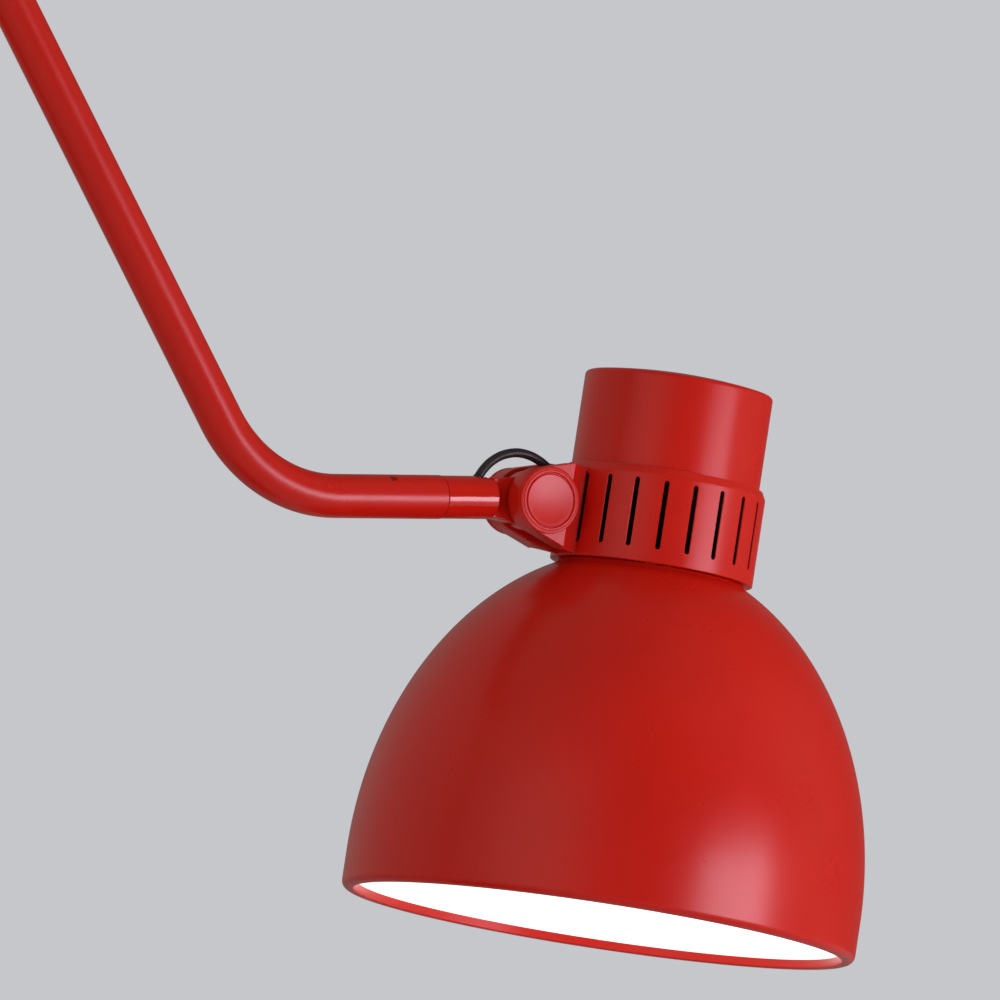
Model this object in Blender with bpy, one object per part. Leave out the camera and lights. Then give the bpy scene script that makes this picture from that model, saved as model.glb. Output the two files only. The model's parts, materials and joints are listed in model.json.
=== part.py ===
"""Architect desk lamp: weighted round base, swivelling post, bent arm, wrist and slotted head.

Frame: origin at the centre of the base's underside, +Z up, +X from the post towards the head.
Every length in this file is in millimetres and is turned into metres where a mesh is written.
"""
import math

import bmesh
import bpy
from mathutils import Matrix, Vector

MM = 0.001                      # one millimetre in metres
GAP = 0.3                       # clearance between neighbouring pieces

# --- driving dimensions ------------------------------------------------------------------------
TUBE_R = 10.0                   # post and arm tube, outside
TUBE_WALL = 1.5
CABLE_R = 2.1
HEAD_TILT = math.radians(9.95)  # head axis from vertical at rest

POST_X = -50.0                  # post axis
ARM_Y = -24.0                   # plane of the bent arm, beside the post
PIVOT_X = 250.0                 # head pivot
PIVOT_Z = 430.0
TUBE_LIFT = 1.2                 # arm tube's axis above the head pivot
ARM_SLOPE = math.radians(60.0)  # upper run of the arm, below horizontal
CORNER_BACK = 141.8             # bend's corner, behind the head pivot
BEND_R = 68.0
ELBOW_BACK = 300.0              # elbow axis, behind the head pivot

BASE_R = 120.0
BASE_H = 20.0
PAD_H = 2.0
COVER_WALL = 1.5

SHADE_R = 118.1                 # largest radius of the dome
SHADE_H = 154.0                 # the dome is half an ellipse of this height
SHADE_WALL = 1.2
SHADE_FULL = -170.2             # where the ellipse becomes a short cylinder
BEAD_R = 3.0                    # rolled rim
BEAD_AT = (115.8, -186.0)       # radius and height of the bead's centre

COLLAR_R = 46.6
COLLAR_IN = 44.9
COLLAR_LIP_IN = 43.6
COLLAR_FLOOR_IN = 32.0
COLLAR_TOP = 18.5
COLLAR_SHOULDER = 15.1          # where the collar's top chamfer starts
COLLAR_BOTTOM = -25.2
SLOT_COUNT = 21
SLOT_PITCH = math.radians(16.9)
SLOT_W = 2.2
SLOT_TOP = 12.7
SLOT_BOTTOM = -18.8
HEAD_OFFSET = 68.2              # lamp axis, ahead of the head pivot
HEAD_RISE = 4.3                 # zero height of the lamp axis, above the head pivot

CAP_R = 43.2
CAP_EDGE = 61.5
CAP_CROWN = 66.0
HEAD_SCREW_COUNT = 3
HEAD_SCREW_CIRCLE = 37.0

EAR_R = 15.2
EAR_IN = 5.8
EAR_OUT = 16.0
EAR_END = 11.5                  # where the thick ear starts to thin down to the collar

ELBOW_X = PIVOT_X - ELBOW_BACK
TUBE_Z = PIVOT_Z + TUBE_LIFT
ELBOW_Z = TUBE_Z + (ELBOW_BACK - CORNER_BACK) * math.tan(ARM_SLOPE)
ARM_DIR = Vector((math.cos(ARM_SLOPE), 0.0, -math.sin(ARM_SLOPE)))

# --- the elbow's two knuckles ------------------------------------------------------------------
KNUCKLE_R = 15.2
KNUCKLE_HALF = 11.2             # mating face to the tube's plane
KNUCKLE_SPACE = -ARM_Y - 2 * KNUCKLE_HALF  # left between the two mating faces
KNUCKLE_LEN = 26.0
KNUCKLE_BORE = 12.0
KNUCKLE_CAVITY = 15.5
KNUCKLE_WEB = 19.0
NECK_R = 9.8
NECK_END = 30.0
SPIGOT_R = TUBE_R - TUBE_WALL - GAP
SPIGOT_END = 52.0
CABLE_BORE = 4.6

# --- wrist ---------------------------------------------------------------------------------------
SEAM = -47.6                    # end of the arm tube, from the head pivot
SLEEVE_END = -21.5
TONGUE_R = 14.0
TONGUE_HALF = 4.5
SCREW_AT = -75.0                # retaining screw in the arm tube
SCREW_LEAN = math.radians(35.0)  # its lean from vertical, towards the near side
WRIST_SPIGOT_R = 6.8
WRIST_GROOVE_R = 5.4
WRIST_NOSE_R = 6.0
WRIST_STOP = math.radians(137.0)  # part of the groove left solid, which stops the wrist at a quarter turn

# --- base and swivel -----------------------------------------------------------------------------
SOCKET_SCREW_CIRCLE = 20.5
SOCKET_SCREW_COUNT = 4
SWITCH_AT = (62.0, 0.0)
GLAND_AT = (-BASE_R, 0.0, 10.2)
SOCKET_FLOOR = 24.3
SPIGOT_FOOT = 24.6
GROOVE_LOW = 30.5
GROOVE_HIGH = 34.5
GROOVE_R = 8.0
SOCKET_BORE = 12.5
BUSH_FOOT = 37.0
SOCKET_TOP = 62.0
SWIVEL_STOP = math.radians(28.0)   # width of the key left in the post's groove

# --- cable ---------------------------------------------------------------------------------------
# The loop's own points, from the wrist's top to the collar's wall, measured from the head pivot.
LOOP_ROUTE = [(-26.8, 0, 11.1), (-24.3, 0, 14.2), (-20.4, 0, 17.6), (-14.6, 0, 20.5), (-7.4, 0, 21.7),
              (-0.6, 0, 20.6), (5.2, 0, 17.9), (10.4, 0, 14.0), (15.2, 0, 9.6), (19.6, 0, 6.2), (22.0, 0, 4.9)]

DRILL_TURN = 0.13               # radians

PAINT = "red_paint"
PALETTE = {                     # name: colour, roughness, metallic
    "red_paint": ((0.45, 0.012, 0.008), 0.38, 0.0),
    "white_paint": ((0.85, 0.85, 0.83), 0.5, 0.0),
    "opal": ((0.95, 0.95, 0.95), 0.4, 0.0),
    "black_plastic": ((0.02, 0.02, 0.02), 0.5, 0.0),
    "black_rubber": ((0.012, 0.012, 0.012), 0.7, 0.0),
    "steel": ((0.55, 0.55, 0.56), 0.3, 1.0),
    "aluminium": ((0.65, 0.65, 0.66), 0.35, 1.0),
    "iron": ((0.08, 0.08, 0.085), 0.7, 1.0),
}


def clear_scene():
    for item in list(bpy.data.objects):
        bpy.data.objects.remove(item)


def make_materials():
    made = {}
    for name, (colour, roughness, metallic) in PALETTE.items():
        material = bpy.data.materials.new(name)
        material.use_nodes = True
        shader = material.node_tree.nodes["Principled BSDF"]
        shader.inputs["Base Color"].default_value = (*colour, 1.0)
        shader.inputs["Roughness"].default_value = roughness
        shader.inputs["Metallic"].default_value = metallic
        made[name] = material
    return made


# --- modelling helpers -------------------------------------------------------------------------
def empty(name, location, rotation_y=0.0, parent=None):
    """A frame for a group of pieces; its location is in millimetres."""
    frame = bpy.data.objects.new(name, None)
    bpy.context.collection.objects.link(frame)
    frame.location = Vector(location) * MM
    frame.rotation_euler = (0.0, rotation_y, 0.0)
    frame.parent = parent
    return frame


def place(name, bm, material, parent=None, at=(0, 0, 0), along=(0, 0, 1)):
    """Write a bmesh in millimetres as an object whose local Z points along a direction."""
    bmesh.ops.remove_doubles(bm, verts=bm.verts, dist=1e-5)
    bmesh.ops.recalc_face_normals(bm, faces=bm.faces)
    bmesh.ops.scale(bm, vec=(MM, MM, MM), verts=bm.verts)
    mesh = bpy.data.meshes.new(name)
    bm.to_mesh(mesh)
    bm.free()
    mesh.shade_smooth()
    mesh.set_sharp_from_angle(angle=math.radians(30))
    item = bpy.data.objects.new(name, mesh)
    bpy.context.collection.objects.link(item)
    item.location = Vector(at) * MM
    item.rotation_mode = "QUATERNION"
    item.rotation_quaternion = Vector((0, 0, 1)).rotation_difference(Vector(along))
    item.parent = parent
    if material:
        mesh.materials.append(MATERIALS[material])
    return item


def spin_profile(profile, segments):
    """A closed outline of (radius, height) points, turned once round local Z."""
    bm = bmesh.new()
    verts = [bm.verts.new((radius, 0.0, height)) for radius, height in profile]
    edges = [bm.edges.new((verts[i - 1], verts[i])) for i in range(len(verts))]
    on_axis = [e for e in edges if all(abs(v.co.x) < 1e-6 for v in e.verts)]
    for edge in on_axis:
        bm.edges.remove(edge)
        edges.remove(edge)
    bmesh.ops.spin(bm, geom=verts + edges, cent=(0, 0, 0), axis=(0, 0, 1),
                   angle=2 * math.pi, steps=segments, use_merge=True)
    return bm


def turned(name, profile, material, segments=32, **where):
    return place(name, spin_profile(profile, segments), material, **where)


def ring(name, inner, outer, low, high, material, segments=24, **where):
    """A plain washer or bush between two heights of its own axis."""
    profile = [(inner, low), (outer, low), (outer, high), (inner, high)]
    return turned(name, profile, material, segments, **where)


def disc(name, radius, low, high, material, segments=24, **where):
    profile = [(0, low), (radius, low), (radius, high), (0, high)]
    return turned(name, profile, material, segments, **where)


def drill(name, radius, low, high, segments=12, **where):
    return bore(name, [(0, low), (radius, low), (radius, high), (0, high)], segments, **where)


def bore(name, profile, segments, **where):
    """A turned cutter; its corners are turned a little off the axes, clear of other pieces' edges."""
    bm = spin_profile(profile, segments)
    bmesh.ops.rotate(bm, matrix=Matrix.Rotation(DRILL_TURN, 3, "Z"), verts=bm.verts)
    return place(name, bm, None, **where)


def prism(name, outline, low, high, material, **where):
    """An outline in local XY, extruded along local Z."""
    bm = bmesh.new()
    face = bm.faces.new([bm.verts.new((x, y, low)) for x, y in outline])
    made = bmesh.ops.extrude_face_region(bm, geom=[face])
    lifted = [v for v in made["geom"] if isinstance(v, bmesh.types.BMVert)]
    bmesh.ops.translate(bm, vec=(0, 0, high - low), verts=lifted)
    return place(name, bm, material, **where)


def sector(name, inner, outer, low, high, start, sweep, segments, **where):
    """Part of a ring, from a start angle through a sweep, both in radians."""
    bm = bmesh.new()
    corners = [(inner, low), (outer, low), (outer, high), (inner, high)]
    verts = [bm.verts.new((r * math.cos(start), r * math.sin(start), z)) for r, z in corners]
    first = bm.faces.new(verts)
    bmesh.ops.spin(bm, geom=[first], cent=(0, 0, 0), axis=(0, 0, 1), angle=sweep, steps=segments)
    return place(name, bm, None, **where)


def arc(centre, radius, start, end, steps):
    """Points on a circle from one angle in degrees to another."""
    turn = [math.radians(start + (end - start) * i / steps) for i in range(steps + 1)]
    return [(centre[0] + radius * math.cos(a), centre[1] + radius * math.sin(a)) for a in turn]


def hide_tool(tool):
    tool.hide_render = True
    tool.display_type = "WIRE"


def combine(item, tool, operation):
    hide_tool(tool)
    step = item.modifiers.new(operation.lower(), "BOOLEAN")
    step.operation = operation
    step.object = tool


def cut(item, *tools):
    for tool in tools:
        combine(item, tool, "DIFFERENCE")


def fuse(item, *tools):
    for tool in tools:
        combine(item, tool, "UNION")


def cable(name, route, parent=None):
    """A round cable through the route's points, on one smooth curve."""
    points = [Vector(p) for p in route]
    points = [points[0] * 2 - points[1]] + points + [points[-1] * 2 - points[-2]]
    step = 3 * 2 * CABLE_R
    path = []
    for a, b, c, d in zip(points, points[1:], points[2:], points[3:]):
        count = max(1, round((c - b).length / step))
        for i in range(count):
            t = i / count
            path.append(0.5 * (2 * b + (c - a) * t + (2 * a - 5 * b + 4 * c - d) * t * t
                               + (3 * b - a - 3 * c + d) * t ** 3))
    path.append(points[-2])
    curve = bpy.data.curves.new(name, "CURVE")
    curve.dimensions = "3D"
    curve.bevel_depth = CABLE_R * MM
    curve.bevel_resolution = 2
    curve.use_fill_caps = True
    curve.render_resolution_u = 0
    spline = curve.splines.new("POLY")
    spline.points.add(len(path) - 1)
    for point, place_at in zip(spline.points, path):
        point.co = (*(place_at * MM), 1.0)
    item = bpy.data.objects.new(name, curve)
    bpy.context.collection.objects.link(item)
    item.parent = parent
    curve.materials.append(MATERIALS["black_rubber"])
    return item


def screw(name, head_r, head_h, shank_r, length, parent, at, along, segments=12):
    """A cap screw: its head sits on local Z 0 and the shank runs to +Z."""
    profile = [(0, -head_h), (head_r, -head_h), (head_r, 0), (shank_r, 0), (shank_r, length),
               (0, length)]
    return turned(name, profile, "steel", segments, parent=parent, at=at, along=along)


# --- base ----------------------------------------------------------------------------------------
def socket_screw_places():
    for i in range(SOCKET_SCREW_COUNT):
        angle = 2 * math.pi * (i + 0.5) / SOCKET_SCREW_COUNT
        yield (POST_X + SOCKET_SCREW_CIRCLE * math.cos(angle), SOCKET_SCREW_CIRCLE * math.sin(angle))


def build_base():
    disc("base_pad", 113.0, 0.0, PAD_H, "black_rubber", 48)
    weight_top = BASE_H - COVER_WALL - 2 * GAP
    weight_r = BASE_R - COVER_WALL - 5 * GAP
    profile = [(0, PAD_H + GAP), (weight_r, PAD_H + GAP), (weight_r, 12.0), (weight_r - 5, weight_top),
               (0, weight_top)]
    weight = turned("base_weight", profile, "iron", 48)
    edge = 5.5
    outer = arc((BASE_R - edge, BASE_H - edge), edge, 90, 0, 2)
    inner = arc((BASE_R - edge, BASE_H - edge), edge - COVER_WALL, 0, 90, 2)
    outline = ([(0, BASE_H)] + outer + [(BASE_R, 1.0), (BASE_R - COVER_WALL, 1.0)]
               + inner + [(0, BASE_H - COVER_WALL)])
    cover = turned("base_cover", outline[::-1], PAINT, 40)

    post = (POST_X, 0, 0)
    cut(weight, drill("weight_post_hole", 7.0, -1, 30, 16, at=post))
    cut(cover, drill("cover_post_hole", 7.0, 10, 30, 16, at=post))
    for i, (x, y) in enumerate(socket_screw_places()):
        at = (x, y, 0)
        stepped = [(0, -1), (5.2, -1), (5.2, 8.0), (2.9, 8.0), (2.9, 30), (0, 30)]
        cut(weight, bore(f"weight_bore_{i}", stepped, 12, at=at))
        cut(cover, drill(f"cover_bore_{i}", 2.9, 10, 30, 12, at=at))
    switch = (*SWITCH_AT, 0)
    cut(weight, drill("weight_switch_pocket", 9.3, 3.9, 30, 20, at=switch))
    cut(cover, drill("cover_switch_hole", 8.6, 10, 30, 20, at=switch))
    channel = [(-BASE_R, -7.0), (SWITCH_AT[0], -7.0), (SWITCH_AT[0], 7.0), (-BASE_R, 7.0)]
    cut(weight, prism("weight_channel", channel, 4.0, 30, None))
    cut(cover, drill("cover_gland_hole", 4.3, -10, 10, 12, at=GLAND_AT, along=(1, 0, 0)))

    gland = [(2.4, -2.4), (5.0, -2.4), (5.4, -1.8), (5.4, -GAP), (4.0, -GAP), (4.0, COVER_WALL + 0.9),
             (5.4, COVER_WALL + 0.9), (5.4, 4.0), (2.4, 4.0)]
    turned("cable_gland", gland, "black_rubber", 16, at=GLAND_AT, along=(1, 0, 0))
    cable("cable_base", [(-115.6, 0, GLAND_AT[2]), (-100, 0, 8.6), (-80, 0, 7.6), (-64, 0, 7.6),
                         (-54.5, 0, 9.6), (-50.6, 0, 14.0), (POST_X, 0, 19.6)])
    build_socket()
    build_switch()


def build_socket():
    post = (POST_X, 0, 0)
    low = BASE_H + GAP
    outline = [(6.0, low), (26.0, low), (27.0, low + 1.0), (27.0, low + 3.0), (26.0, low + 4.0),
               (18.5, low + 4.4), (16.0, low + 7.0), (16.0, SOCKET_TOP - 1.0), (15.0, SOCKET_TOP),
               (SOCKET_BORE, SOCKET_TOP), (SOCKET_BORE, BUSH_FOOT - GAP), (TUBE_R + GAP, BUSH_FOOT - GAP),
               (TUBE_R + GAP, SOCKET_FLOOR), (6.0, SOCKET_FLOOR)]
    socket = turned("post_socket", outline, PAINT, 24, at=post)
    for i, (x, y) in enumerate(socket_screw_places()):
        cut(socket, drill(f"socket_thread_{i}", 2.7, 10, low + 3.0, 12, at=(x, y, 0)))
        screw(f"socket_screw_{i + 1}", 4.3, 3.8, 2.4, 15.0, None, (x, y, 7.7), (0, 0, 1))
    middle = (GROOVE_LOW + GROOVE_HIGH) / 2
    away = (-1, 0, 0)
    cut(socket, drill("socket_screw_hole", 1.9, 8, 30, 12, at=(POST_X, 0, middle), along=away))
    disc("swivel_screw", 1.6, GROOVE_R + GAP, 16.2, "steel", 12, at=(POST_X, 0, middle), along=away)
    bush = [(TUBE_R + GAP, BUSH_FOOT), (SOCKET_BORE - GAP, BUSH_FOOT), (SOCKET_BORE - GAP, SOCKET_TOP + GAP),
            (15.0, SOCKET_TOP + GAP), (14.4, SOCKET_TOP + 1.8), (TUBE_R + GAP, SOCKET_TOP + 1.8)]
    turned("post_bush", bush, "black_plastic", 20, at=post)


def build_switch():
    at = (*SWITCH_AT, 0)
    bezel = [(7.0, BASE_H + GAP), (11.4, BASE_H + GAP), (11.4, BASE_H + 1.0), (10.6, BASE_H + 1.8),
             (7.0, BASE_H + 1.8)]
    turned("switch_bezel", bezel, "aluminium", 20, at=at)
    shell = [(0, 5.0), (8.2, 5.0), (8.2, BASE_H), (7.0, BASE_H), (7.0, 6.2), (0, 6.2)]
    turned("switch_body", shell, "black_plastic", 16, at=at)
    top = BASE_H + 5.0
    button = [(0, 12.0), (6.6, 12.0), (6.6, top - 0.8), (5.8, top), (4.0, top - 0.4), (0, top - 0.7)]
    turned("switch_button", button, "black_plastic", 16, at=at)
    build_spring(at, 6.5, 11.7)


def build_spring(at, low, high):
    """A small compression spring with flat ends."""
    wire, coil_r, turns, steps = 0.35, 4.2, 3, 12
    curve = bpy.data.curves.new("switch_spring", "CURVE")
    curve.dimensions = "3D"
    curve.bevel_depth = wire * MM
    curve.bevel_resolution = 0
    curve.use_fill_caps = True
    curve.render_resolution_u = 0
    spline = curve.splines.new("POLY")
    spline.points.add(turns * steps)
    for i, point in enumerate(spline.points):
        angle = 2 * math.pi * i / steps
        rise = low + wire + (high - low - 2 * wire) * i / (turns * steps)
        point.co = (coil_r * math.cos(angle) * MM, coil_r * math.sin(angle) * MM, rise * MM, 1.0)
    item = bpy.data.objects.new("switch_spring", curve)
    bpy.context.collection.objects.link(item)
    item.location = Vector(at) * MM
    curve.materials.append(MATERIALS["steel"])


# --- post ----------------------------------------------------------------------------------------
def build_post():
    frame = empty("post_frame", (POST_X, 0, 0))
    foot_top = GROOVE_HIGH + 5.0
    outline = [(CABLE_BORE, SPIGOT_FOOT), (TUBE_R, SPIGOT_FOOT), (TUBE_R, foot_top), (SPIGOT_R, foot_top),
               (SPIGOT_R, 68.0), (CABLE_BORE, 68.0)]
    spigot = turned("post_spigot", outline, "steel", 24, parent=frame)
    cut(spigot, sector("spigot_groove", GROOVE_R, TUBE_R + 1, GROOVE_LOW, GROOVE_HIGH, SWIVEL_STOP / 2,
                       2 * math.pi - SWIVEL_STOP, 24, parent=frame))
    tube_top = ELBOW_Z - NECK_END - GAP
    ring("post_tube", TUBE_R - TUBE_WALL, TUBE_R, foot_top + GAP, tube_top, PAINT, 24, parent=frame)
    top = (0, 0, ELBOW_Z)
    build_knuckle("post_knuckle", frame, top, (0, 1, 0), (0, 0, -1))
    cable("cable_post", [(0, 0, 20.2), (0, 0, 120), (0, 0, 400), (0, 0, ELBOW_Z - 60), (0, 0, ELBOW_Z - 30),
                         (0, 0, ELBOW_Z - 21), (0, 0, ELBOW_Z - 16.5), (0.1, -0.7, ELBOW_Z - 12.6),
                         (0.3, -2.6, ELBOW_Z - 9.8), (0.5, -5.6, ELBOW_Z - 8.1), (0.6, -8.9, ELBOW_Z - 7.6),
                         (0.6, ARM_Y / 2 + GAP / 2, ELBOW_Z - 7.6)], frame)
    ring("elbow_friction_ring", KNUCKLE_BORE + GAP, 15.0, GAP, KNUCKLE_SPACE - GAP, "black_plastic", 24,
         parent=frame, at=(0, -KNUCKLE_HALF, ELBOW_Z), along=(0, -1, 0))


def build_knuckle(name, parent, axis_at, outward, neck):
    """A cup round the elbow's axis, open towards its twin, with a neck that plugs into a tube.

    axis_at is where the tube's axis meets the elbow's axis.
    """
    end, web = KNUCKLE_LEN, KNUCKLE_WEB
    cup = [(KNUCKLE_BORE, 0), (KNUCKLE_R, 0), (KNUCKLE_R, end - 0.8), (KNUCKLE_R - 0.8, end), (12.4, end),
           (12.4, web), (3.4, web), (3.4, KNUCKLE_CAVITY), (KNUCKLE_BORE, KNUCKLE_CAVITY)]
    at = Vector(axis_at) - Vector(outward) * KNUCKLE_HALF
    knuckle = turned(name, cup, PAINT, 24, parent=parent, at=at, along=outward)
    stem = [(0, KNUCKLE_BORE + 1.0), (NECK_R, KNUCKLE_BORE + 1.0), (NECK_R, NECK_END), (SPIGOT_R, NECK_END),
            (SPIGOT_R, SPIGOT_END), (0, SPIGOT_END)]
    fuse(knuckle, turned(name + "_neck", stem, None, 20, parent=parent, at=axis_at, along=neck))
    cut(knuckle, drill(name + "_bore", CABLE_BORE, 3.0, SPIGOT_END + 1, 16, parent=parent,
                      at=axis_at, along=neck))
    face = KNUCKLE_LEN - 0.4
    cap = [(0, face - 2.6), (12.1, face - 2.6), (12.1, face - 0.4), (11.7, face), (8.0, face), (0, face - 0.6)]
    turned(name + "_cap", cap, PAINT, 24, parent=parent, at=at, along=outward)
    return knuckle


# --- arm -----------------------------------------------------------------------------------------
def build_arm():
    frame = empty("arm_frame", (ELBOW_X, ARM_Y, ELBOW_Z))
    build_knuckle("arm_knuckle", frame, (0, 0, 0), (0, -1, 0), ARM_DIR)
    build_elbow_bolt(frame)
    build_arm_tube(frame)
    for i, x in enumerate((SEAM - 48.0, SEAM - 12.0)):
        bush_at = (PIVOT_X - ELBOW_X + x, 0, TUBE_Z - ELBOW_Z)
        ring(f"wrist_bush_{i + 1}", WRIST_SPIGOT_R + GAP, TUBE_R - TUBE_WALL - 0.2, -4, 4, "black_plastic", 24,
             parent=frame, at=bush_at, along=(1, 0, 0))
    lean = (0, -math.sin(SCREW_LEAN), math.cos(SCREW_LEAN))
    screw_at = (PIVOT_X - ELBOW_X + SCREW_AT, 0, TUBE_Z - ELBOW_Z)
    disc("wrist_screw", 1.5, WRIST_GROOVE_R + GAP, TUBE_R - 0.9, "steel", 12, parent=frame, at=screw_at,
         along=lean)
    build_arm_cable(frame)


def build_elbow_bolt(frame):
    """The bolt that clamps the two cups together, with its spring washer and nut."""
    near_web = -(KNUCKLE_WEB - KNUCKLE_HALF)
    far_web = KNUCKLE_HALF + KNUCKLE_SPACE + KNUCKLE_WEB
    screw("elbow_bolt", 5.6, 3.2, 3.0, far_web - near_web + 3.7, frame, (0, near_web - GAP, 0), (0, 1, 0))
    across = {"parent": frame, "along": (0, 1, 0)}
    ring("elbow_spring_washer", 3.5, 8.0, far_web + GAP, far_web + 1.1, "steel", 20, **across)
    nut = prism("elbow_nut", hexagon(5.7), far_web + 1.4, far_web + 3.6, "steel", **across)
    cut(nut, drill("elbow_nut_hole", 3.3, 0, 60, **across))


def hexagon(corner_r):
    turns = [math.radians(60 * i) for i in range(6)]
    return [(corner_r * math.cos(a), corner_r * math.sin(a)) for a in turns]


def extrude_section(bm, section, move):
    """Extrude the faces of a tube's section along a straight run, and return the new section."""
    made = bmesh.ops.extrude_face_region(bm, geom=section)["geom"]
    verts = [g for g in made if isinstance(g, bmesh.types.BMVert)]
    bmesh.ops.translate(bm, vec=move, verts=verts)
    return [g for g in made if isinstance(g, bmesh.types.BMFace)]


def build_arm_tube(frame):
    """Straight run, bend and level run of one tube, made from a pair of rings."""
    start = ARM_DIR * (NECK_END + GAP)
    level_z = TUBE_Z - ELBOW_Z
    corner = Vector((ELBOW_BACK - CORNER_BACK, 0, level_z))
    tangent = BEND_R * math.tan(ARM_SLOPE / 2)
    bend_start = corner - ARM_DIR * tangent
    centre = corner + Vector((tangent, 0, BEND_R))
    end_x = ELBOW_BACK + SEAM - GAP
    bm = bmesh.new()
    turn = Vector((0, 0, 1)).rotation_difference(ARM_DIR).to_matrix().to_4x4()
    segments = 20
    loops = []
    for radius in (TUBE_R, TUBE_R - TUBE_WALL):
        made = bmesh.ops.create_circle(bm, segments=segments, radius=radius,
                                       matrix=Matrix.Translation(start) @ turn)
        loops.append(made["verts"])
    section = [bm.faces.new((loops[0][i - 1], loops[0][i], loops[1][i], loops[1][i - 1]))
               for i in range(segments)]
    section = extrude_section(bm, section, bend_start - start)
    made = bmesh.ops.spin(bm, geom=section, cent=centre, axis=(0, 1, 0), angle=-ARM_SLOPE, steps=8)
    bmesh.ops.delete(bm, geom=section, context="FACES_KEEP_BOUNDARY")
    section = [g for g in made["geom_last"] if isinstance(g, bmesh.types.BMFace)]
    extrude_section(bm, section, Vector((end_x - corner.x - tangent, 0, 0)))
    bmesh.ops.delete(bm, geom=section, context="FACES_KEEP_BOUNDARY")
    tube = place("arm_tube", bm, PAINT, parent=frame)
    lean = (0, -math.sin(SCREW_LEAN), math.cos(SCREW_LEAN))
    cut(tube, drill("arm_screw_hole", 1.9, 4, 14, 12, parent=frame,
                   at=(ELBOW_BACK + SCREW_AT, 0, level_z), along=lean))


def build_arm_cable(frame):
    """From the elbow's cup, down the arm's axis, round the bend and into the wrist."""
    level_z = TUBE_Z - ELBOW_Z
    corner = Vector((ELBOW_BACK - CORNER_BACK, 0, level_z))
    tangent = BEND_R * math.tan(ARM_SLOPE / 2)
    route = [Vector((0.6, -ARM_Y / 2 - GAP / 2, -7.6)), Vector((0.6, 8.8, -7.6)), Vector((2.2, 5.2, -7.9)),
             Vector((4.0, 2.4, -9.1)), Vector((5.8, 0.7, -11.0))]
    route += [ARM_DIR * along for along in (16.5, 21, 32, 60, 160)]
    route += [corner - ARM_DIR * (tangent + 30), corner - ARM_DIR * tangent]
    for share in (0.25, 0.5, 0.75):
        angle = ARM_SLOPE * (1 - share)
        centre = corner + Vector((tangent, 0, BEND_R))
        route.append(centre - Vector((math.sin(angle), 0, math.cos(angle))) * BEND_R)
    route += [corner + Vector((tangent, 0, 0)), Vector((ELBOW_BACK - 96, 0, level_z)),
              Vector((ELBOW_BACK - 66, 0, level_z))]
    cable("cable_arm", route, frame)


# --- wrist ---------------------------------------------------------------------------------------
def build_wrist():
    frame = empty("wrist_frame", (PIVOT_X, ARM_Y, PIVOT_Z))
    axis_at = (0, 0, TUBE_LIFT)
    tail = SEAM - 56.0
    nose = SEAM + 11.6
    outline = [(3.6, tail), (WRIST_SPIGOT_R, tail), (WRIST_SPIGOT_R, SEAM - GAP), (WRIST_NOSE_R, SEAM - GAP),
               (WRIST_NOSE_R, nose), (4.8, nose), (3.6, nose - 2.4)]
    spigot = turned("wrist_spigot", outline, "steel", 24, parent=frame, at=axis_at, along=(1, 0, 0))
    # local X of a piece pointing along +X is world -Z, so the groove's middle faces the screw
    screw_angle = math.atan2(-math.sin(SCREW_LEAN), -math.cos(SCREW_LEAN))
    cut(spigot, sector("wrist_groove", WRIST_GROOVE_R, WRIST_SPIGOT_R + 1, SCREW_AT - 1.9, SCREW_AT + 1.9,
                       screw_angle - math.pi + WRIST_STOP / 2, 2 * math.pi - WRIST_STOP, 20,
                       parent=frame, at=axis_at, along=(1, 0, 0)))
    build_wrist_fitting(frame, axis_at, nose)
    ring("pivot_bush", 3.3, 5.0, -TONGUE_HALF, TONGUE_HALF, "black_plastic", 20, parent=frame, along=(0, 1, 0))
    for name, side in (("pivot_washer_near", -1), ("pivot_washer_far", 1)):
        ring(name, 3.3, 11.5, TONGUE_HALF + GAP, EAR_IN - GAP, "steel", 24, parent=frame, along=(0, side, 0))
    cable("cable_wrist", [(-65.6, 0, TUBE_LIFT), (-52, 0, TUBE_LIFT), (-43, 0, TUBE_LIFT + 0.1),
                          (-38.4, 0, TUBE_LIFT + 1.1), (-34.2, 0, TUBE_LIFT + 3.3), (-30.4, 0, TUBE_LIFT + 6.4),
                          (-27.0, 0, TUBE_LIFT + 9.6)], frame)
    cable("cable_loop", LOOP_ROUTE, frame)


def build_wrist_fitting(frame, axis_at, nose):
    """The sleeve that carries on the arm tube, and the tongue between the collar's ears."""
    outline = [(0, SEAM), (9.8, SEAM), (9.8, SLEEVE_END - 1.0), (8.8, SLEEVE_END), (0, SLEEVE_END)]
    fitting = turned("wrist_fitting", outline, PAINT, 20, parent=frame, at=axis_at, along=(1, 0, 0))
    half = 8.4
    back = SLEEVE_END - 4.0
    tongue = [(back, -half + TUBE_LIFT)] + arc((0, 0), TONGUE_R, -138, 138, 14) + [(back, half + TUBE_LIFT)]
    blade = prism("tongue_blade", [(x, -z) for x, z in tongue], -TONGUE_HALF, TONGUE_HALF, None, parent=frame,
                  along=(0, 1, 0))
    fuse(fitting, blade)
    cut(fitting, drill("tongue_bore", 5.3, -10, 10, 20, parent=frame, along=(0, 1, 0)),
        drill("fitting_bore", WRIST_NOSE_R + GAP, SEAM - 1, nose + 5.0, 24, parent=frame, at=axis_at,
             along=(1, 0, 0)),
        drill("fitting_exit", 3.1, -2, 16, 16, parent=frame, at=(-33.2, 0, TUBE_LIFT + 2.4),
             along=(0.68, 0, 0.74)))


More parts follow.
